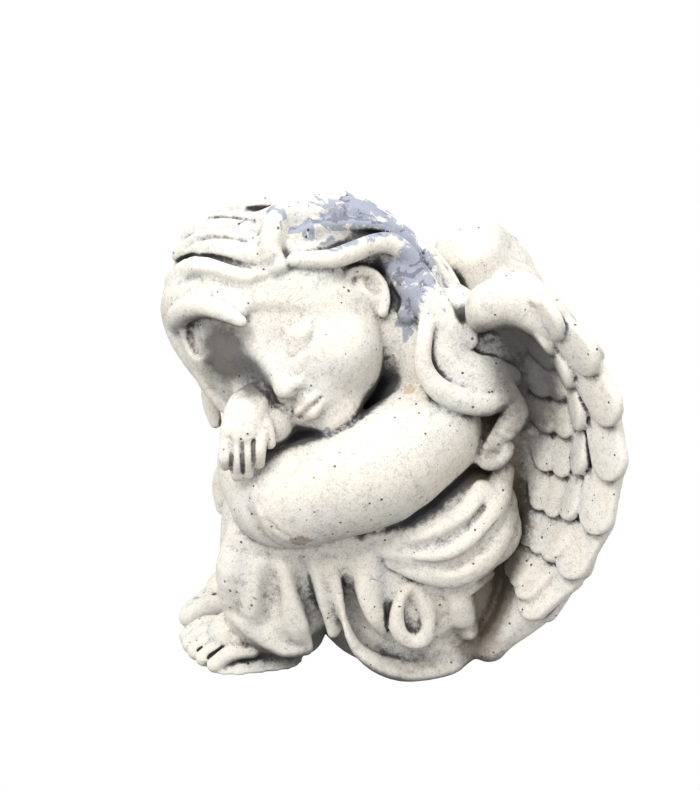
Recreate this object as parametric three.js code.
// A seated garden angel, cast in one piece of concrete: a child with folded wings who sleeps with its head
// on its folded arms. Millimetres, +Z up. The figure faces -Y and its left side is +X.
//
// The form is sculpted as a distance field: balls, strands and blades are blended and carved as clay is.
// The field is then meshed as one closed surface and reduced to a faceted solid.
import * as THREE from "three";

// ---------------------------------------------------------------- sizes

const GRID_STEP = 2.6; // spacing of the grid that the field is meshed on
const FACE_COUNT = 9600; // triangles kept in the finished solid
const BLOCK = 8; // grid cells along a side of one block of work
const FAR = 1000; // a distance that counts as far away

// The head's own frame, in the statue's: towards its left ear, out of its face, and up to its crown.
const HEAD_AT = [1, -53, 178];
const HEAD_AXES = [
  [0.27, 0.637, 0.722],
  [0.92, -0.39, 0],
  [-0.282, -0.665, 0.692],
];

// The wing runs between two lines, from its wrist at the top to its tip by the base.
const WING_INNER_EDGE = [
  [40, 48, 196],
  [33, 56, 160],
  [31, 60, 120],
  [33, 60, 80],
  [36, 56, 45],
  [42, 44, 10],
];
const WING_OUTER_EDGE = [
  [58, 56, 206],
  [75, 78, 187],
  [83, 92, 152],
  [81, 92.5, 108],
  [71, 80, 64],
  [50, 49, 12],
];
const WING_CUP = 13; // how far the wing bows back between its edges

// Rows of feathers from the wing's outer edge inwards. across: 1 at the outer edge, 0 at the body.
const FRONT_FEATHERS = [
  { across: 1.06, from: 0.05, to: 0.84, count: 7, length: 44, width: 25, lift: 2 },
  { across: 0.78, from: 0.08, to: 0.8, count: 7, length: 38, width: 22, lift: 5 },
  { across: 0.52, from: 0.13, to: 0.77, count: 7, length: 32, width: 19, lift: 6.6 },
  { across: 0.28, from: 0.22, to: 0.74, count: 6, length: 26, width: 16, lift: 7 },
];
const BACK_FEATHERS = [
  { across: 0.97, from: 0.04, to: 0.84, count: 7, length: 42, width: 27, lift: 2 },
  { across: 0.72, from: 0.07, to: 0.8, count: 7, length: 36, width: 24, lift: 3.5 },
  { across: 0.46, from: 0.12, to: 0.77, count: 7, length: 32, width: 21, lift: 4.5 },
  { across: 0.2, from: 0.2, to: 0.74, count: 6, length: 28, width: 18, lift: 5 },
];

// ---------------------------------------------------------------- forms

const vector = (v) => new THREE.Vector3(...v);
const unit = (v) => vector(v).normalize();

// A form is a solid: the box that holds it, and its signed distance at a point, under 0 inside.
// The distance need only be right up to limit, which lets far parts be passed over.
class Form {
  constructor(low, high, distance) {
    this.low = low;
    this.high = high;
    this.distance = distance;
  }

  // How far a point is from the form's box.
  gap(x, y, z) {
    const dx = Math.max(this.low[0] - x, x - this.high[0], 0);
    const dy = Math.max(this.low[1] - y, y - this.high[1], 0);
    const dz = Math.max(this.low[2] - z, z - this.high[2], 0);
    return Math.sqrt(dx * dx + dy * dy + dz * dz);
  }
}

const boxAround = (points, pad) => {
  const box = new THREE.Box3().setFromPoints(points).expandByScalar(pad);
  return [box.min.toArray(), box.max.toArray()];
};

// An ellipsoid.
function ball(centre, radii) {
  const [cx, cy, cz] = centre;
  const [rx, ry, rz] = radii;
  const distance = (x, y, z) => {
    const qx = (x - cx) / rx;
    const qy = (y - cy) / ry;
    const qz = (z - cz) / rz;
    const near = Math.hypot(qx, qy, qz);
    const steep = Math.hypot(qx / rx, qy / ry, qz / rz);
    return (near * (near - 1)) / Math.max(steep, 1e-9);
  };
  return new Form([cx - rx, cy - ry, cz - rz], [cx + rx, cy + ry, cz + rz], distance);
}

// Points along a smooth curve through the given ones, and a list of numbers spread along them.
function smoothCurve(points, steps) {
  const curve = new THREE.CatmullRomCurve3(points.map(vector), false, "catmullrom");
  return curve.getPoints((points.length - 1) * steps);
}

function spread(values, count) {
  const list = Array.isArray(values) ? values : [values, values];
  return Array.from({ length: count }, (_, i) => {
    const at = (i / (count - 1)) * (list.length - 1);
    const low = Math.min(Math.floor(at), list.length - 2);
    return list[low] + (list[low + 1] - list[low]) * (at - low);
  });
}

// A rope along a smooth curve, with a radius for each point. With a normal it is a ribbon:
// flat is its thickness along the normal, as a share of its width.
function strand(points, radii, { flat = 1, normal = null, steps = 3 } = {}) {
  const path = smoothCurve(points, points.length > 2 ? steps : 1);
  const widths = spread(radii, path.length);
  const facing = normal && Array.isArray(normal[0]) ? normal : [normal ?? [0, 0, 1], normal ?? [0, 0, 1]];
  const facingAt = [0, 1, 2].map((axis) => spread(facing.map((n) => n[axis]), path.length));
  const links = path.slice(1).map((end, i) => {
    const start = path[i];
    const along = end.clone().sub(start);
    const middle = start.clone().add(end).multiplyScalar(0.5);
    const n = unit(facingAt.map((axis) => axis[i] + axis[i + 1]));
    return {
      x: start.x, y: start.y, z: start.z,
      dx: along.x, dy: along.y, dz: along.z,
      square: Math.max(along.lengthSq(), 1e-9),
      mx: middle.x, my: middle.y, mz: middle.z,
      reach: along.length() / 2 + Math.max(widths[i], widths[i + 1]),
      width: widths[i],
      grow: widths[i + 1] - widths[i],
      nx: n.x, ny: n.y, nz: n.z,
    };
  });
  const distance = (x, y, z, limit) => {
    let best = FAR;
    for (const s of links) {
      const far = s.reach + Math.min(limit, best);
      const ex = x - s.mx;
      const ey = y - s.my;
      const ez = z - s.mz;
      if (far < 0 || ex * ex + ey * ey + ez * ez > far * far) continue;
      let qx = x - s.x;
      let qy = y - s.y;
      let qz = z - s.z;
      const t = Math.min(Math.max((qx * s.dx + qy * s.dy + qz * s.dz) / s.square, 0), 1);
      const w = s.width + s.grow * t;
      qx -= t * s.dx;
      qy -= t * s.dy;
      qz -= t * s.dz;
      const off = qx * qx + qy * qy + qz * qz;
      if (normal === null) {
        best = Math.min(best, Math.sqrt(off) - w);
        continue;
      }
      const thin = w * flat;
      const rise = qx * s.nx + qy * s.ny + qz * s.nz;
      const side = Math.max(off - rise * rise, 0);
      const near = Math.sqrt(side / w ** 2 + rise ** 2 / thin ** 2);
      const steep = Math.sqrt(side / w ** 4 + rise ** 2 / thin ** 4);
      best = Math.min(best, (near * (near - 1)) / Math.max(steep, 1e-9));
    }
    return best;
  };
  return new Form(...boxAround(path, Math.max(...widths)), distance);
}

const limb = (from, fromRadius, to, toRadius) => strand([from, to], [fromRadius, toRadius]);

// A blade with round ends: half its length, width and thickness along three axes, bowed both ways.
function blade(centre, half, axes, { rounding, bow }) {
  const [c, ax, ay, az] = [vector(centre), ...axes];
  const [long, wide, thick] = half;
  const round = Math.min(long, wide);
  const reach = Math.hypot(long, wide, thick + bow[0] * long ** 2 + bow[1] * wide ** 2);
  const q = new THREE.Vector3();
  const distance = (x, y, z) => {
    q.set(x - c.x, y - c.y, z - c.z);
    const l = q.dot(ax);
    const w = q.dot(ay);
    const n = q.dot(az) + bow[0] * l * l + bow[1] * w * w;
    const overL = Math.abs(l) - (long - round);
    const overW = Math.abs(w) - (wide - round);
    const outline = Math.hypot(Math.max(overL, 0), Math.max(overW, 0)) + Math.min(Math.max(overL, overW),
      0);
    const a = outline - round + rounding;
    const b = Math.abs(n) - thick + rounding;
    return Math.hypot(Math.max(a, 0), Math.max(b, 0)) + Math.min(Math.max(a, b), 0) - rounding;
  };
  return new Form(...boxAround([c], reach), distance);
}

function smoothMin(a, b, k) {
  const h = Math.max(k - Math.abs(a - b), 0) / k;
  return Math.min(a, b) - h * h * k * 0.25;
}

// Several forms as one, with the creases between them filled over a width k.
function blend(k, ...forms) {
  const low = [0, 1, 2].map((i) => Math.min(...forms.map((f) => f.low[i])) - k / 4);
  const high = [0, 1, 2].map((i) => Math.max(...forms.map((f) => f.high[i])) + k / 4);
  const distance = (x, y, z, limit) => {
    let total = FAR;
    for (const f of forms) {
      if (f.gap(x, y, z) < limit + k) total = smoothMin(total, f.distance(x, y, z, limit + k), k);
    }
    return total;
  };
  return new Form(low, high, distance);
}

// A form with others cut out of it, the edge of each cut softened over a width k.
function carve(k, form, ...cutters) {
  const distance = (x, y, z, limit) => {
    let total = form.distance(x, y, z, limit + k);
    for (const f of cutters) {
      if (f.gap(x, y, z) < limit + k) total = -smoothMin(-total, f.distance(x, y, z, limit + k), k);
    }
    return total;
  };
  return new Form(form.low, form.high, distance);
}

// A form with ridges (height over 0) and grooves (under 0) along curves: [points, width, height].
// A height may be one number or a list spread along the curve; the cross-section is a soft bell.
function relief(form, ...marks) {
  const lines = marks.map(([points, width, height]) => {
    const path = smoothCurve(points, 4);
    const reach = 2.3 * width;
    const [low, high] = boxAround(path, reach);
    return { path, width, reach, heights: spread(height, path.length), box: new Form(low, high, null) };
  });
  const p = new THREE.Vector3();
  const onLine = new THREE.Vector3();
  const link = new THREE.Line3();
  const distance = (x, y, z, limit) => {
    let total = form.distance(x, y, z, limit + 3);
    p.set(x, y, z);
    for (const { path, width, reach, heights, box } of lines) {
      if (box.gap(x, y, z) > 0) continue;
      let best = reach * reach;
      let height = 0;
      for (let i = 0; i + 1 < path.length; i++) {
        link.set(path[i], path[i + 1]);
        const t = link.closestPointToPointParameter(p, true);
        const square = link.at(t, onLine).distanceToSquared(p);
        if (square >= best) continue;
        best = square;
        height = heights[i] + (heights[i + 1] - heights[i]) * t;
      }
      total -= height * Math.exp(-best / (width * width));
    }
    return total;
  };
  const wider = (corner, by) => corner.map((v) => v + by);
  return new Form(wider(form.low, -2), wider(form.high, 2), distance);
}

// A form made in its own frame, set down with its axes laid along the given ones.
function place(form, origin, axes) {
  const [ox, oy, oz] = origin;
  const [a, b, c] = axes.map(unit);
  const corners = [];
  for (const x of [form.low[0], form.high[0]])
    for (const y of [form.low[1], form.high[1]])
      for (const z of [form.low[2], form.high[2]])
        corners.push(vector(origin).addScaledVector(a, x).addScaledVector(b, y).addScaledVector(c, z));
  const distance = (x, y, z, limit) => {
    const dx = x - ox;
    const dy = y - oy;
    const dz = z - oz;
    return form.distance(
      dx * a.x + dy * a.y + dz * a.z,
      dx * b.x + dy * b.y + dz * b.z,
      dx * c.x + dy * c.y + dz * c.z,
      limit,
    );
  };
  return new Form(...boxAround(corners, 0), distance);
}

// A form reflected from the statue's left side to its right.
function mirror(form) {
  const low = [-form.high[0], form.low[1], form.low[2]];
  const high = [-form.low[0], form.high[1], form.high[2]];
  return new Form(low, high, (x, y, z, limit) => form.distance(-x, y, z, limit));
}

// A form cut off flat at a height.
function above(form, level) {
  const low = [form.low[0], form.low[1], level];
  const distance = (x, y, z, limit) => Math.max(form.distance(x, y, z, limit), level - z);
  return new Form(low, form.high, distance);
}

// ---------------------------------------------------------------- body and gown

function gown() {
  const hips = ball([0, 20, 40], [58, 48, 44]);
  const belly = limb([0, 18, 50], 46, [0, 14, 118], 42);
  const back = ball([0, 30, 88], [46, 42, 62]);
  const shoulders = strand([[-44, 12, 134], [0, 20, 140], [44, 12, 134]], [24, 30, 24]);
  const base = ball([0, 12, 12], [56, 52, 26]);
  const thigh = limb([30, 12, 42], 32, [27, -46, 92], 26);
  const shin = limb([25, -50, 92], 24, [25, -60, 30], 24);
  const skirt = strand([[29, -58, 84], [29, -66, 60], [30, -68, 34]], 24);
  const lap = ball([0, -30, 60], [40, 44, 50]);
  const front = strand([[0, -58, 92], [0, -70, 60], [0, -62, 30]], [24, 22, 24]);
  const legs = [thigh, shin, skirt].flatMap((part) => [part, mirror(part)]);
  return blend(12, hips, belly, back, shoulders, base, lap, front, ...legs);
}

// The apron of cloth over the shin, down to its hem above the foot.
function apronFolds() {
  return [
    strand([[38, -78, 78], [44, -85, 62], [44, -88, 46]], [12, 11, 7]),
    strand([[46, -70, 76], [50, -75, 58], [50, -77, 42], [47, -74, 32]], [8, 8, 7, 5]),
    strand([[50, -62, 74], [53, -59, 52], [53, -55, 34], [50, -51, 22]], [6, 7, 8, 6]),
    strand([[39, -90, 42], [45, -87, 36], [49, -76, 28], [51, -62, 18], [50, -50, 17]],
      [3.5, 4.5, 5, 5, 4]),
    strand([[51, -46, 70], [54, -44, 50], [52, -37, 28]], 5),
  ];
}

// Cloth at the hip: a broad ridge, the roll along the bottom, a drop-shaped loop and a soft last fold.
function hipFolds() {
  const roll = [[48, -40, 72], [57, -34, 48], [60, -28, 30], [60, -18, 16], [59, -6, 8], [57, 9, 4],
    [53, 24, 4], [46, 34, 6]];
  const loop = [[61, 4, 56], [62, -3, 46], [63, -4, 34], [63, 1, 26], [63, 8, 25], [63, 12, 33],
    [62, 10, 45], [61, 5, 56]];
  return [
    strand([[52, -17, 72], [56, -19, 54], [58, -17, 40], [57, -12, 28]], [8, 8, 7, 4]),
    strand(roll, [4.5, 5, 5.5, 6, 6.5, 6.5, 6, 5]),
    strand(loop, [2, 3.5, 4.5, 5, 5, 4.5, 4, 2]),
    strand([[56, 22, 60], [59, 27, 44], [55, 33, 26]], [7, 8, 7]),
  ];
}

// Hollows between the folds of the skirt, and the crease where it comes out from under the arm.
function skirtHollows() {
  const underArm = [[48, -90, 77], [52, -82, 75], [56, -69, 72], [56, -53, 70], [57, -35, 71],
    [60, -21, 76], [64, -9, 81]];
  const apronGap = [[57, -54, 68], [56, -51, 56], [55, -48, 44], [52, -44, 28], [46, -42, 14]];
  const trough = [[59, -28, 54], [60, -26, 40], [61, -20, 26], [62, -9, 17], [62, 6, 14], [60, 20, 17],
    [58, 32, 28]];
  return [
    [underArm, 2.6, -3.2],
    [[[57, -70, 64], [56, -68, 50], [55, -70, 36]], 4.2, [-3, -8, -5]],
    [apronGap, 4.2, [-4, -8, -6, -6, -6]],
    [[[60, -38, 56], [60, -36, 38], [58, -31, 22]], 3.2, [-2, -5, -5]],
    [trough, 5.5, [-2, -6, -8, -8, -7, -6, -3]],
    [[[60, -24, 58], [62, -22, 49], [63, -17, 39], [61, -13, 30]], 3.2, [1, 3, 3, 1]],
    [[[65, 2, 54], [64, 3, 43], [63, 4, 34]], 3, [-2, -5.5, -5]],
    [[[62, 18, 56], [63, 20, 42], [62, 18, 30]], 3.5, [-1, -3, -3]],
  ];
}

// Folds of the sleeve, fanned from the crook of the arm to the armpit, over a lining, with a double hem.
function sleeveFolds() {
  const fan = [
    strand([[58, -12, 80], [64, 4, 84], [66, 18, 89], [65, 30, 96], [60, 38, 106]], [3, 5, 6, 6.5, 6]),
    strand([[60, -11, 75], [65, 4, 74], [68, 20, 76], [67, 34, 86], [62, 45, 100], [54, 50, 114]],
      [3, 5.5, 7, 7.5, 7, 6]),
    strand([[60, -7, 68], [65, 8, 64], [67, 24, 63], [66, 38, 71], [61, 48, 84], [54, 51, 100]],
      [3, 5, 6.5, 7, 7, 6]),
  ];
  const lining = strand([[48, -10, 80], [50, 16, 78], [47, 36, 92]], [14, 22, 20]);
  const flapShape = { flat: 0.6, normal: [0.8, 0.5, -0.2] };
  const flap = strand([[56, 54, 96], [58, 56, 80], [60, 50, 70], [62, 36, 63]], [4, 5, 4.5, 3.5],
    flapShape);
  const hems = [
    strand([[61, 12, 57], [62, 28, 56], [58, 44, 62]], [2.6, 3, 2.4]),
    strand([[60, 6, 57], [61, 20, 51], [60, 33, 51], [55, 45, 57]], [2.4, 3, 3, 2.4]),
  ];
  return blend(3, lining, ...fan, flap, ...hems);
}

function sleeveCreases() {
  return [
    [[[68, -83, 126], [67, -81, 111], [67, -76, 96], [63, -66, 81],
      [60, -52, 74]], 2.8, [-2, -4.5, -5, -4.5, -2]],
    [[[66, -15, 82], [69, 0, 89], [71, 10, 97], [70, 20, 106]], 2.8, [-4, -6, -6, -2]],
    [[[67, -12, 79], [70, 2, 80], [72, 16, 84], [71, 28, 91],
      [67, 38, 100]], 2.6, [-2, -3.5, -4, -3.5, -2]],
    [[[69, -6, 74], [72, 10, 71], [73, 26, 75], [70, 39, 87],
      [64, 48, 100]], 2.6, [-2, -3.5, -4, -3.5, -2]],
  ];
}

// ---------------------------------------------------------------- feet, arms and hand

function foot() {
  const sole = strand([[24, -52, 14], [25, -76, 12], [25, -90, 9]], [14, 14, 10]);
  const instep = ball([26, -84, 17], [15, 16, 10]);
  const toes = [0, 1, 2, 3, 4].map((i) => {
    const x = 11.5 + 7.2 * i;
    const tip = -110 + 0.75 * i * i;
    const r = 6.4 - 0.5 * i;
    return strand([[x + 1, tip + 20, 12], [x, tip + 9, 9 + 0.4 * r], [x, tip, r]], [r * 0.9, r, r * 0.95]);
  });
  const ground = strand([[12, -100, -3], [25, -92, -3], [38, -92, -3], [30, -64, -3]], [8, 10, 8, 14]);
  return blend(1, blend(6, sole, instep), ...toes, ground);
}

// The near arm lies across in front; the far arm rises under the head to its hand.
function nearArm() {
  const upper = strand([[42, 14, 132], [52, -14, 117], [49, -50, 104]], [27, 29, 27]);
  const fore = strand([[46, -62, 103], [10, -68, 105], [-36, -62, 106]], [27, 25, 22]);
  return blend(8, upper, fore);
}

const farUpperArm = () => strand([[-42, 14, 132], [-54, -14, 114], [-50, -50, 104]], [27, 29, 25]);
const farForearm = () => strand([[-46, -46, 116], [0, -58, 128], [44, -68, 142]], [22, 20, 14]);

// A lock of hair and a fold of the far sleeve that hang on the far side of the arms.
function farSide() {
  return [
    strand([[-34, -74, 160], [-44, -86, 146], [-49, -92, 132], [-49, -94, 119], [-46, -92, 108]],
      [12, 9, 7, 5, 3.5]),
    strand([[-30, -66, 96], [-42, -80, 82], [-47, -87, 70], [-45, -88, 58]], [14, 11, 8, 5.5]),
  ];
}

// The right hand hangs over the near sleeve with its fingers down.
function hand() {
  const backOfHand = { flat: 0.75, normal: [1, -0.3, 0.3] };
  const palm = strand([[44, -72, 154], [54, -79, 152], [61, -82, 143]], [9, 10, 10.5], backOfHand);
  const tips = [128, 122, 123, 128];
  const fingers = tips.map((tip, i) => {
    const y = -90 + 5.4 * i;
    const knuckle = 141 + 1.2 * i;
    const line = [[60, y + 2, knuckle], [66.5, y + 0.5, knuckle - 6], [68, y, (knuckle + tip) / 2 - 2],
      [65.5, y, tip]];
    return strand(line, [4.2, 3.7, 3.5, 3]);
  });
  const thumb = strand([[55, -72, 150], [60, -69, 143], [62, -68, 137]], [4, 3.6, 3]);
  return blend(1.2, palm, ...fingers, thumb);
}

// ---------------------------------------------------------------- head and hair

const bothSides = (make) => [make(1), make(-1)];

// In the head's frame: x to its left, y out of the face, z to the crown. A child's proportions: eyes at
// half the head's height, full cheeks, small nose and mouth.
function face() {
  const skull = ball([0, -4, 4], [50, 52, 50]);
  const jaw = ball([0, 14, -18], [43, 37, 38]);
  const chin = ball([0, 34, -49], [12, 12, 9]);
  const cheeks = bothSides((s) => ball([s * 22, 27, -27], [18, 18, 16]));
  let form = blend(10, skull, jaw, ...cheeks, chin);
  form = blend(6, form, ball([0, 41, -35], [14, 10, 10]));
  form = carve(7, form, ...bothSides((s) => ball([s * 19, 56, -3], [13, 9, 9])));
  form = blend(2, form, ...bothSides((s) => ball([s * 19, 37.5, -8], [11.5, 10, 8.5])));
  form = blend(6, form, strand([[0, 45, 0], [0, 48.5, -11], [0, 52, -19]], [4, 4, 4.6]));
  const nostrils = bothSides((s) => ball([s * 5.6, 50, -23.5], [3.6, 4, 3.2]));
  form = blend(3, form, ball([0, 54, -21.5], [5.4, 5, 4.8]), ...nostrils);
  const upperLip = [[-9, 46.5, -35.8], [-4.5, 51, -34], [0, 51.6, -34.8], [4.5, 51, -34], [9, 46.5, -35.8]];
  const lowerLip = [[-7.5, 47, -37.8], [0, 50.2, -39.4], [7.5, 47, -37.8]];
  form = blend(2, form, strand(upperLip, [1.2, 2.5, 2.2, 2.5, 1.2]), strand(lowerLip, [1.4, 3.2, 1.4]));
  const earRim = [[46, 18, -4], [51, 14, -2], [55, 9, -7], [56, 7, -15], [53, 9, -23], [48, 13, -27]];
  form = blend(2, form, ball([49, 10, -15], [5, 8, 11]), strand(earRim, [2.5, 3, 3.2, 3, 3, 3.4]));
  return carve(2, form, ball([55, 13, -15], [4.5, 4, 6]));
}

// A wave of hair on the head: a rounded ribbon that lies flat on the skull.
function wave(path, width, { flat = 0.75, tip = 0.6, root = 0.7 } = {}) {
  const skullMiddle = vector([0, -6, 0]);
  const normal = path.map((p) => vector(p).sub(skullMiddle).normalize().toArray());
  const last = path.length - 1;
  const widths = path.map((_, i) => {
    const grown = Math.min(1, root + ((1 - root) * 2 * i) / last);
    return width * grown * (1 - (1 - tip) * (i / last) ** 3);
  });
  return strand(path, widths, { flat, normal });
}

// Waves that run from the parting over the right side of the head.
function rightWaves() {
  const fringe = [[31, 38, 27], [23, 40, 30], [14, 39, 39], [5, 35, 49], [-8, 24, 57], [-24, 14, 60]];
  const brow = [[7, 47, 22], [4, 43, 31], [-4, 36, 41], [-20, 26, 49], [-34, 17, 48], [-44, 8, 38],
    [-49, -2, 26]];
  const temple = [[-2, 26, 52], [-20, 18, 55], [-34, 12, 50], [-43, 12, 38], [-46, 15, 24], [-46, 19, 8],
    [-43, 23, -8]];
  const side = [[-10, 4, 64], [-28, 0, 57], [-41, 0, 45], [-49, 2, 30], [-51, 6, 10], [-49, 10, -12],
    [-45, 16, -30]];
  return [
    wave(fringe, 6, { root: 0.5 }),
    wave(brow, 9, { root: 0.55 }),
    wave([[42, 29, 36], [34, 32, 36], [25, 30, 42], [15, 23, 52], [2, 14, 62],
      [-14, 8, 66]], 7.5, { root: 0.6 }),
    wave([[50, 12, 41], [42, 17, 43], [33, 19, 48], [21, 13, 57], [8, 5, 66], [-6, 0, 70]], 8),
    wave([[56, 2, 36], [45, 3, 47], [34, 2, 54], [22, -3, 62], [6, -7, 68], [-14, -10, 66]], 8.5),
    wave(temple, 9),
    wave(side, 9),
    wave([[-40, 24, 22], [-45, 25, 8], [-46, 26, -6], [-43, 30, -18]], 6.5, { tip: 0.5 }),
  ];
}

// The mass of hair that sweeps from the parting back over the left ear.
function sweep() {
  const inner = [[40, 20, 40], [52, 10, 34], [61, 2, 22], [66, -4, 8], [68, -7, -8], [67, -8, -24],
    [61, -8, -40], [55, -7, -56]];
  const middle = [[32, -6, 48], [47, -12, 38], [57, -18, 22], [61, -21, 2], [63, -22, -18],
    [64, -21, -38], [60, -18, -58]];
  const outer = [[18, -28, 42], [34, -36, 30], [45, -39, 10], [50, -40, -12], [52, -37, -36]];
  return [
    strand(inner, [10, 11, 11, 10.5, 10, 10, 10, 9]),
    strand(middle, [12, 12, 12, 11, 10.5, 10, 9]),
    strand(outer, [13, 13, 13, 13, 11]),
    strand([[44, 24, 27], [54, 15, 23], [62, 7, 16]], [7, 8, 7]),
  ];
}

// Waves on the sweep of hair over the left side of the head.
function leftWaves() {
  const first = [[54, 21, 26], [65, 11, 15], [72, 5, 7], [75, -1, -2], [76, -7, -22], [72, -6, -33],
    [65, -4, -42], [56, -2, -62]];
  const second = [[57, 6, 33], [68, -2, 22], [73, -11, 2], [75, -14, -12], [75, -15, -28], [71, -15, -42],
    [64, -13, -54]];
  const third = [[44, -6, 49], [62, -15, 29], [69, -23, 4], [72, -24, -10], [74, -22, -26],
    [73, -19, -42], [68, -15, -58]];
  return [
    wave(first, 6, { tip: 0.5 }),
    wave(second, 6),
    wave(third, 6.5),
    wave([[28, -14, 52], [41, -22, 42], [51, -30, 25], [57, -34, 5], [60, -35, -15],
      [60, -32, -36]], 8, { tip: 0.7 }),
  ];
}

// Wavy locks that fall from the crown down the back of the head.
function backLocks() {
  const falls = [16, 44, 72, 100, 128, 150].map(THREE.MathUtils.degToRad);
  return [0, 1, 2, 3, 4].map((i) => {
    const turn = THREE.MathUtils.degToRad(-66 + 30 * i);
    const path = falls.map((fall) => [
      2 + 52 * Math.sin(turn) * Math.sin(fall) + 4 * Math.sin(3.2 * fall + i),
      -8 - 50 * Math.cos(turn) * Math.sin(fall),
      6 + 53 * Math.cos(fall),
    ]);
    return wave(path, 11, { flat: 0.7, tip: 0.8 });
  });
}

// A crisp edge of a wave: a ridge along a line, and a groove beside it towards the face.
function crease(line, ridge = 1.3, groove = -2.4) {
  const offset = unit([-0.15, 0.7, -0.7]).multiplyScalar(3.4);
  const beside = line.map((p) => vector(p).add(offset).toArray());
  return [
    [line, 2.2, [0, ridge, ridge, ridge * 0.6]],
    [beside, 2.2, [0, groove, groove, groove * 0.5]],
  ];
}

// Creases between the waves of the hair.
function hairCreases() {
  const channel = [[70, 3, 6], [73, 1, -1], [77, -1, -9], [77, -2, -17], [74, -2, -25], [69, 0, -32],
    [62, 2, -37], [56, 4, -41]];
  const behindEar = [[58, 8, 32], [66, 0, 23], [73, -8, 10], [78, -11, -6], [79, -12, -24],
    [74, -11, -40], [66, -9, -52]];
  return [
    ...crease([[-24, 8, 62], [-8, 16, 63], [7, 26, 54], [17, 33, 46], [26, 37, 36], [33, 39, 31],
      [40, 39, 30]]),
    ...crease([[-26, 24, 55], [-5, 32, 54], [8, 40, 46], [14, 42, 38], [20, 43, 30], [27, 42, 27]]),
    ...crease([[-22, 6, 66], [0, 14, 66], [15, 20, 59], [27, 27, 48], [35, 33, 41]]),
    ...crease([[-2, -10, 70], [20, -2, 66], [36, 6, 55], [48, 12, 44]]),
    [channel, 3.4, [-2, -4, -6, -6, -6, -6, -6, -4]],
    [[[50, 26, 32], [56, 22, 31], [63, 16, 27], [70, 9, 19], [75, 2, 6],
      [78, -4, -6]], 2.2, [-1, -2.5, -2.5, -2.5, -2, -1]],
    [[[48, 30, 27], [55, 24, 22], [62, 17, 15], [70, 9, 7], [75, 4, 0]], 3, [-2, -4, -4, -3, -1]],
    [behindEar, 2, [-1, -2.5, -3, -3, -3, -3, -1]],
    [[[50, 2, 44], [62, -6, 34], [71, -14, 20], [76, -19, 2], [77, -19, -20],
      [75, -17, -42]], 2, [-1, -2, -2.5, -3, -3, -1]],
    [[[40, -18, 50], [53, -26, 36], [61, -31, 18], [65, -34, 0],
      [66, -32, -22]], 2.2, [-1, -3, -3, -3, -2]],
  ];
}

// The hair: a cap opened for the face, waves, hollows by the ear and the brow, and their thick rims.
function hair() {
  const cap = ball([1, -6, 6], [58, 56, 58]);
  const side = ball([28, -20, 0], [38, 36, 44]);
  const faceOpening = ball([-8, 58, -30], [50, 38, 54]);
  const mass = blend(7, carve(6, blend(14, cap, side), faceOpening), ...sweep());
  const partingLine = [[36, 38, 24], [38, 35, 33], [43, 31, 38], [48, 25, 41], [53, 18, 40], [54, 15, 33]];
  const parting = strand(partingLine, [4, 5, 5.5, 5.5, 5, 4]);
  let form = blend(3, mass, ...leftWaves(), ...rightWaves(), ...backLocks(), parting);
  const earHollow = [[46, 38, 6], [53, 28, 0], [58, 18, -5], [60, 10, -13], [58, 6, -22], [52, 8, -32]];
  const browHollow = [[-28, 34, 28], [-14, 46, 24], [-2, 54, 14]];
  form = carve(2.5, form, strand(earHollow, [4, 7, 9.5, 10, 9, 6]), strand(browHollow, [9, 9, 7]));
  const earRim = [[42, 34, 21], [54, 24, 8], [61, 16, 4], [68, 9, 1], [73, 4, -5], [75, 1, -13],
    [74, 1, -21], [68, 3, -28], [55, 7, -37]];
  const forelock = [[-36, 22, 41], [-26, 31, 42], [-14, 40, 40], [-3, 47, 34], [4, 52, 25], [8, 54, 17]];
  form = blend(1.8, form, strand(earRim, [3.5, 5, 5.5, 6, 6, 6, 5.5, 5, 5.5]),
    strand(forelock, [5, 6, 6, 5.5, 4.5, 3]));
  return relief(form, ...hairCreases());
}

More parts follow.
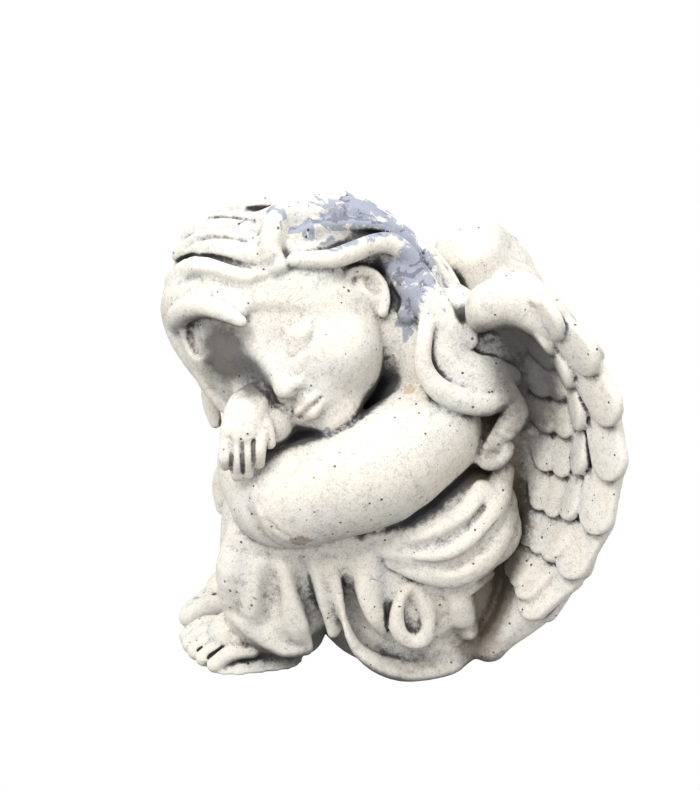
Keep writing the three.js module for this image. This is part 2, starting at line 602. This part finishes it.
// Locks that fall on the shoulders, in the statue's frame.
function longLocks() {
  const ribbon = (path, widths, flat = 0.65, normal = [1, 0, 0.1]) => {
    return strand(path, widths, { flat, normal });
  };
  const nape = strand([[0, -6, 180], [4, 22, 168], [4, 40, 146]], [34, 32, 20]);
  const mass = ball([24, 24, 166], [24, 28, 36]);
  const lipLine = [[38, 14, 197], [47, 11, 191], [53, 9, 184], [55.5, 8, 176], [57, 10, 168],
    [59.5, 17, 160], [60.5, 28, 155], [60, 40, 153], [58, 50, 156]];
  const lip = ribbon(lipLine, [4, 4, 4, 4.4, 5, 6, 6.6, 6.6, 5], 0.8);
  const broadLine = [[40, 13, 198], [47, 17, 185], [50, 22, 174], [53, 31, 167], [53, 42, 164],
    [50, 52, 163]];
  const broad = ribbon(broadLine, [6, 8, 10, 11, 11, 7], 0.4, [0.85, -0.2, 0.5]);
  const tail = ribbon([[57, 51, 158], [60, 54, 148], [60, 50, 139], [57, 43, 129], [55, 39, 122]],
    [5, 7, 6.5, 4.5, 2.5], 0.5, [0.9, -0.3, 0.2]);
  const curl = ribbon([[55, 38, 121], [58, 42, 120], [60, 48, 123], [60, 51, 129], [57, 48, 132]],
    [3, 4, 3.8, 3.4, 2.4], 0.8);
  const behind = ribbon([[34, 40, 180], [40, 52, 160], [40, 58, 140]], [12, 12, 9]);
  const upper = ribbon([[20, 0, 216], [31, 8, 206], [40, 16, 196], [46, 23, 187], [47, 32, 182]],
    [10, 10, 9, 7, 5]);
  const far = mirror(ribbon([[34, 10, 196], [36, 28, 180], [42, 40, 160], [44, 44, 138]],
    [14, 14, 12, 6], 0.8));
  const hollow = strand([[54, 16, 190], [57, 24, 180], [59, 36, 175]], [2.5, 4.5, 4.5]);
  const ridge = ribbon([[51, 19, 178], [54, 27, 170], [56, 36, 167], [55, 46, 165]],
    [2.2, 2.8, 2.8, 2], 0.8);
  const form = blend(1.6, blend(5, nape, mass, far, behind, upper), broad, lip, tail, curl);
  return blend(1.6, carve(2, form, hollow), ridge);
}

// ---------------------------------------------------------------- wings

const innerEdge = new THREE.CatmullRomCurve3(WING_INNER_EDGE.map(vector), false, "catmullrom");
const outerEdge = new THREE.CatmullRomCurve3(WING_OUTER_EDGE.map(vector), false, "catmullrom");

// A point on the wing's middle surface: across from the body (0) to the outer edge (1), down from
// the wrist (0) to the tip (1).
function onWing(across, down) {
  const at = Math.min(Math.max(down, 0), 1);
  const rib = Math.sin(Math.PI * Math.min(Math.max(across, 0), 1));
  const bow = WING_CUP * rib * Math.sin(Math.PI * Math.min(1, 0.15 + at));
  const point = innerEdge.getPoint(at).lerp(outerEdge.getPoint(at), across);
  return point.add(new THREE.Vector3(-0.6 * bow, 0.8 * bow, 0));
}

// The directions on the wing at a point: out to the edge, down to the tip, and off its front face.
function wingAxes(across, down) {
  const nudge = 0.02;
  const out = onWing(across + nudge, down).sub(onWing(across - nudge, down)).normalize();
  const fall = onWing(across, down + nudge).sub(onWing(across, down - nudge)).normalize();
  const off = out.clone().cross(fall).normalize();
  return { out, fall, off: off.x < 0 ? off.negate() : off };
}

// Feathers on one face of the wing (side 1 is its front, -1 its back), laid like tiles.
function feathers(side, rows, tilt) {
  return rows.flatMap((row) =>
    Array.from({ length: row.count }, (_, i) => {
      const down = row.from + ((row.to - row.from) * i) / (row.count - 1);
      const { out, fall, off } = wingAxes(row.across, down);
      const lift = off.multiplyScalar(side);
      const splay = 0.9 * (1 - down) ** 1.5;
      const along = fall.addScaledVector(out, splay).normalize().addScaledVector(lift, tilt).normalize();
      const sideways = lift.clone().cross(along).normalize();
      const up = along.clone().cross(sideways);
      const centre = onWing(row.across, down).addScaledVector(lift, row.lift + 2);
      const half = [row.length / 2, (row.width / 2) * (1 - 0.22 * down), 2.6];
      return blade(centre.toArray(), half, [along, sideways, up], { rounding: 1.4, bow: [0.003, 0.012] });
    }),
  );
}

function wing() {
  const ribs = [0, 0.2, 0.4, 0.6, 0.8, 1].map((across) => {
    const line = Array.from({ length: 8 }, (_, i) => onWing(across, i / 7).toArray());
    return strand(line, [8, 6.5, 5.5, 5, 5, 5, 5, 5], { steps: 2 });
  });
  const wrist = strand([[47, 38, 194], [52, 42, 201], [58, 54, 205], [67, 67, 198]], [8, 12, 13.5, 10]);
  const root = limb([24, 54, 120], 16, [28, 56, 70], 16);
  const hollow = strand([[57, 44, 180], [54, 52, 163], [52, 58, 140], [50, 58, 112]], [6, 8.5, 8, 6]);
  const backing = strand([[36, 64, 184], [36, 70, 150], [36, 70, 110], [36, 66, 66]], [9, 9, 9, 8]);
  const flatFeather = { flat: 0.6, normal: [1, -0.4, 0.3] };
  const quills = [
    strand([[66, 84, 62], [60, 68, 36], [49, 45, 10]], [7, 8, 6], flatFeather),
    strand([[56, 82, 60], [48, 66, 34], [40, 50, 10]], [7, 9, 7], flatFeather),
  ];
  const sheet = blend(4, carve(4, blend(7, ...ribs, wrist, root), hollow), backing);
  return blend(1, blend(2, sheet, ...quills), ...feathers(1, FRONT_FEATHERS, 0.26),
    ...feathers(-1, BACK_FEATHERS, 0.14));
}

// ---------------------------------------------------------------- the whole statue

function statue() {
  const head = blend(2, place(face(), HEAD_AT, HEAD_AXES), place(hair(), HEAD_AT, HEAD_AXES));
  let form = blend(4, gown(), ...apronFolds(), ...hipFolds(), ...farSide());
  form = blend(2, form, foot(), mirror(foot()));
  form = blend(1.5, form, blend(4, nearArm(), farUpperArm()), sleeveFolds());
  form = relief(form, ...skirtHollows(), ...sleeveCreases());
  form = blend(2.5, form, farForearm());
  form = blend(1.6, form, hand());
  form = blend(4, form, wing(), mirror(wing()));
  form = blend(3, form, longLocks());
  form = blend(2, form, head);
  return above(form, 0);
}

// ---------------------------------------------------------------- meshing

// The form's distance at each point of a grid, worked out only in blocks that the surface may cross.
function sampleGrid(form, step) {
  const low = form.low.map((v) => v - 2 * step);
  const blocks = form.high.map((v, i) => Math.ceil((v + 2 * step - low[i]) / step / BLOCK));
  const size = blocks.map((n) => n * BLOCK + 1);
  const values = new Float32Array(size[0] * size[1] * size[2]).fill(FAR);
  const indexOf = (i, j, k) => (i * size[1] + j) * size[2] + k;
  const at = (i, axis) => low[axis] + i * step;
  const reach = (BLOCK / 2) * step * Math.sqrt(3) * 1.6;
  for (let bi = 0; bi < blocks[0]; bi++)
    for (let bj = 0; bj < blocks[1]; bj++)
      for (let bk = 0; bk < blocks[2]; bk++) {
        const [ci, cj, ck] = [bi, bj, bk].map((b) => (b + 0.5) * BLOCK);
        const middle = form.distance(at(ci, 0), at(cj, 1), at(ck, 2), reach);
        const whole = Math.abs(middle) > reach;
        for (let i = bi * BLOCK; i <= (bi + 1) * BLOCK; i++)
          for (let j = bj * BLOCK; j <= (bj + 1) * BLOCK; j++)
            for (let k = bk * BLOCK; k <= (bk + 1) * BLOCK; k++) {
              const value = whole ? Math.sign(middle) * FAR : form.distance(at(i, 0), at(j, 1),
                at(k, 2), 2 * step);
              values[indexOf(i, j, k)] = value;
            }
      }
  return { low, size, step, values, indexOf };
}

// Fills the grid's ambiguous spots, so that the surface nowhere touches itself along an edge or at a
// point: squares whose inside corners are opposite, and cubes with two lone opposite corners.
function settle(grid) {
  const { size, values, step, indexOf } = grid;
  const fill = (index) => {
    values[index] = -0.05 * step;
  };
  const strides = [size[1] * size[2], size[2], 1];
  const squares = [[0, 1], [1, 2], [0, 2]].map(([a, b]) => [0, strides[a], strides[b],
    strides[a] + strides[b]]);
  const cube = Array.from({ length: 8 }, (_,
    c) => (c & 1) * strides[0] + ((c >> 1) & 1) * strides[1] + (c >> 2));
  let changed = true;
  while (changed) {
    changed = false;
    for (let i = 0; i + 1 < size[0]; i++)
      for (let j = 0; j + 1 < size[1]; j++)
        for (let k = 0; k + 1 < size[2]; k++) {
          const base = indexOf(i, j, k);
          const inside = (offset) => values[base + offset] < 0;
          for (const [a, b, c, d] of squares) {
            if (inside(a) !== inside(d) || inside(b) !== inside(c) || inside(a) === inside(b)) continue;
            fill(base + (inside(a) ? b : a));
            changed = true;
          }
          const corners = cube.filter(inside);
          const opposite = (list) => list.length === 2 && list[0] + list[1] === cube[7];
          if (opposite(corners) || opposite(cube.filter((c) => !inside(c)))) {
            fill(base + cube.find((c) => !inside(c)));
            changed = true;
          }
        }
  }
}

// Keeps the one body that the surface bounds: pockets shut inside it are filled, loose bits dropped.
function keepOneBody(grid) {
  const { size, values, step } = grid;
  const strides = [size[1] * size[2], size[2], 1];
  const label = new Int32Array(values.length);
  const regions = [];
  for (let start = 0; start < values.length; start++) {
    if (label[start]) continue;
    const inside = values[start] < 0;
    const members = [start];
    label[start] = regions.length + 1;
    for (let n = 0; n < members.length; n++)
      for (const stride of strides)
        for (const next of [members[n] - stride, members[n] + stride]) {
          if (next < 0 || next >= values.length || label[next] || values[next] < 0 !== inside) continue;
          label[next] = label[start];
          members.push(next);
        }
    regions.push({ inside, members });
  }
  const largest = (inside) =>
    regions.filter((r) => r.inside === inside).reduce((a,
      b) => (a.members.length > b.members.length ? a : b));
  const kept = [largest(true), largest(false)];
  for (const region of regions) {
    if (kept.includes(region)) continue;
    for (const index of region.members) values[index] = region.inside ? 0.05 * step : -0.05 * step;
  }
}

// The surface as a net: one vertex in each cell that it crosses and two triangles for each grid edge.
function surfaceNet(grid) {
  const { low, size, step, values, indexOf } = grid;
  const clip = (value) => Math.min(Math.max(value, -2 * step), 2 * step);
  const vertexOf = new Int32Array(values.length).fill(-1);
  const points = [];
  const corner = (c) => [c & 1, (c >> 1) & 1, c >> 2];
  for (let i = 0; i + 1 < size[0]; i++)
    for (let j = 0; j + 1 < size[1]; j++)
      for (let k = 0; k + 1 < size[2]; k++) {
        const sum = new THREE.Vector3();
        let hits = 0;
        for (let c = 0; c < 8; c++)
          for (let axis = 0; axis < 3; axis++) {
            if ((c >> axis) & 1) continue;
            const [a, b] = [corner(c), corner(c | (1 << axis))];
            const va = clip(values[indexOf(i + a[0], j + a[1], k + a[2])]);
            const vb = clip(values[indexOf(i + b[0], j + b[1], k + b[2])]);
            if (va < 0 === vb < 0) continue;
            const point = vector(a).lerp(vector(b), va / (va - vb));
            sum.add(point);
            hits++;
          }
        if (!hits) continue;
        vertexOf[indexOf(i, j, k)] = points.length;
        points.push(sum.divideScalar(hits).add(new THREE.Vector3(i, j,
          k)).multiplyScalar(step).add(vector(low)));
      }
  const triangles = [];
  const around = [[0, 0], [-1, 0], [-1, -1], [0, -1]];
  for (let i = 1; i + 1 < size[0]; i++)
    for (let j = 1; j + 1 < size[1]; j++)
      for (let k = 1; k + 1 < size[2]; k++)
        for (let axis = 0; axis < 3; axis++) {
          const here = [i, j, k];
          const next = [...here];
          next[axis] += 1;
          const first = values[indexOf(...here)] < 0;
          if (first === values[indexOf(...next)] < 0) continue;
          const ring = around.map(([b, c]) => {
            const cell = [...here];
            cell[(axis + 1) % 3] += b;
            cell[(axis + 2) % 3] += c;
            return vertexOf[indexOf(...cell)];
          });
          if (!first) ring.reverse();
          const [p, q, r, s] = ring;
          const shortPR = points[p].distanceToSquared(points[r]) < points[q].distanceToSquared(points[s]);
          if (shortPR) triangles.push([p, q, r], [p, r, s]);
          else triangles.push([p, q, s], [q, r, s]);
        }
  return { points, triangles };
}

// ---------------------------------------------------------------- reducing

// A quadric holds, for planes with weights, the sum of squared distances from any point to them.
class Quadric {
  constructor() {
    this.m = new Float64Array(10);
  }

  addPlane(n, d, weight) {
    const p = [n.x, n.y, n.z, d];
    let at = 0;
    for (let i = 0; i < 4; i++) for (let j = i; j < 4; j++) this.m[at++] += weight * p[i] * p[j];
  }

  add(other) {
    for (let i = 0; i < 10; i++) this.m[i] += other.m[i];
    return this;
  }

  error({ x, y, z }) {
    const [xx, xy, xz, xw, yy, yz, yw, zz, zw, ww] = this.m;
    const square = xx * x * x + yy * y * y + zz * z * z + ww;
    return square + 2 * (xy * x * y + xz * x * z + xw * x + yz * y * z + yw * y + zw * z);
  }

  // The point of least error, drawn slightly to a given point so that flat places stay settled.
  best(near) {
    const [xx, xy, xz, xw, yy, yz, yw, zz, zw] = this.m;
    const pull = 1e-3 * (xx + yy + zz) + 1e-9;
    const solve = new THREE.Matrix3().set(xx + pull, xy, xz, xy, yy + pull, yz, xz, yz, zz + pull).invert();
    const goal = new THREE.Vector3(pull * near.x - xw, pull * near.y - yw, pull * near.z - zw);
    return goal.applyMatrix3(solve);
  }
}

// A queue that gives back the item of least cost.
class Queue {
  constructor() {
    this.items = [];
  }

  push(item) {
    const { items } = this;
    let i = items.push(item) - 1;
    while (i > 0) {
      const parent = (i - 1) >> 1;
      if (items[parent].cost <= items[i].cost) break;
      [items[parent], items[i]] = [items[i], items[parent]];
      i = parent;
    }
  }

  pop() {
    const { items } = this;
    const top = items[0];
    const last = items.pop();
    if (items.length === 0) return top;
    items[0] = last;
    let i = 0;
    for (;;) {
      let least = i;
      for (const child of [2 * i + 1, 2 * i + 2]) {
        if (child < items.length && items[child].cost < items[least].cost) least = child;
      }
      if (least === i) return top;
      [items[least], items[i]] = [items[i], items[least]];
      i = least;
    }
  }
}

// Joins neighbouring vertices, the least noticeable first, until count triangles are left.
function reduce({ points, triangles }, count) {
  const faces = triangles.map((t) => [...t]);
  const fans = points.map(() => new Set());
  const quadrics = points.map(() => new Quadric());
  const age = new Int32Array(points.length);
  const normalOf = (a, b, c) => b.clone().sub(a).cross(c.clone().sub(a));
  faces.forEach((face, f) => {
    const [a, b, c] = face.map((v) => points[v]);
    const normal = normalOf(a, b, c);
    const area = normal.length() / 2;
    normal.normalize();
    const onFloor = a.z < 1e-4 && b.z < 1e-4 && c.z < 1e-4;
    for (const v of face) {
      fans[v].add(f);
      quadrics[v].addPlane(normal, -normal.dot(a), area * (onFloor ? 10 : 1));
    }
  });
  const neighbours = (v) => {
    const found = new Set();
    for (const f of fans[v]) for (const w of faces[f]) if (w !== v) found.add(w);
    return found;
  };
  const queue = new Queue();
  const offer = (u, v) => {
    const middle = points[u].clone().lerp(points[v], 0.5);
    const sum = new Quadric().add(quadrics[u]).add(quadrics[v]);
    const point = sum.best(middle);
    if (point.distanceTo(middle) > 2 * points[u].distanceTo(points[v])) point.copy(middle);
    if (point.z < 0.3) point.z = 0;
    const stretch = 2e-4 * points[u].distanceToSquared(points[v]);
    queue.push({ u, v, point, cost: sum.error(point) + stretch, stamp: age[u] + age[v] });
  };
  // Whether the faces round v, less those shared with its partner, keep their direction at a new place.
  const staysFair = (v, partner, point) => {
    for (const f of fans[v]) {
      if (faces[f].includes(partner)) continue;
      const old = faces[f].map((w) => points[w]);
      const moved = faces[f].map((w) => (w === v ? point : points[w]));
      const before = normalOf(...old);
      const after = normalOf(...moved);
      if (before.dot(after) < 0.25 * before.length() * after.length()) return false;
      const longest = Math.max(...moved.map((p, i) => p.distanceToSquared(moved[(i + 1) % 3])));
      if (after.length() < 0.06 * longest) return false;
    }
    return true;
  };
  for (let v = 0; v < points.length; v++) for (const w of neighbours(v)) if (v < w) offer(v, w);
  let left = faces.length;
  while (left > count && queue.items.length) {
    const { u, v, point, stamp } = queue.pop();
    if (!fans[u].size || !fans[v].size || stamp !== age[u] + age[v]) continue;
    const around = neighbours(v);
    if (!around.has(u) || [...neighbours(u)].filter((w) => around.has(w)).length !== 2) continue;
    if (!staysFair(u, v, point) || !staysFair(v, u, point)) continue;
    points[u].copy(point);
    quadrics[u].add(quadrics[v]);
    for (const f of fans[v]) {
      if (faces[f].includes(u)) {
        for (const w of faces[f]) if (w !== v) fans[w].delete(f);
        faces[f] = null;
        left--;
      } else {
        faces[f][faces[f].indexOf(v)] = u;
        fans[u].add(f);
      }
    }
    fans[v].clear();
    const ring = neighbours(u);
    age[u]++;
    for (const w of ring) offer(u, w);
  }
  return { points, triangles: faces.filter((f) => f !== null) };
}

// ---------------------------------------------------------------- the part

// The mesh as geometry, moved so that the middle of its underside's box is the origin.
function geometryOf({ points, triangles }) {
  const used = [...new Set(triangles.flat())];
  const place = new Map(used.map((v, i) => [v, i]));
  const geometry = new THREE.BufferGeometry().setFromPoints(used.map((v) => points[v]));
  geometry.setIndex(triangles.flat().map((v) => place.get(v)));
  geometry.computeBoundingBox();
  const { min, max } = geometry.boundingBox;
  geometry.translate(-(min.x + max.x) / 2, -(min.y + max.y) / 2, -min.z);
  geometry.computeVertexNormals();
  return geometry;
}

function castAngel() {
  const grid = sampleGrid(statue(), GRID_STEP);
  settle(grid);
  keepOneBody(grid);
  const geometry = geometryOf(reduce(surfaceNet(grid), FACE_COUNT));
  const material = new THREE.MeshStandardMaterial({ name: "cast_concrete", color: 0xc9c3b6,
    roughness: 0.95 });
  const mesh = new THREE.Mesh(geometry, material);
  mesh.name = "angel_statue";
  return mesh;
}

const group = new THREE.Group();
group.name = "cemetery_angel_statue";
group.add(castAngel());

export default group;
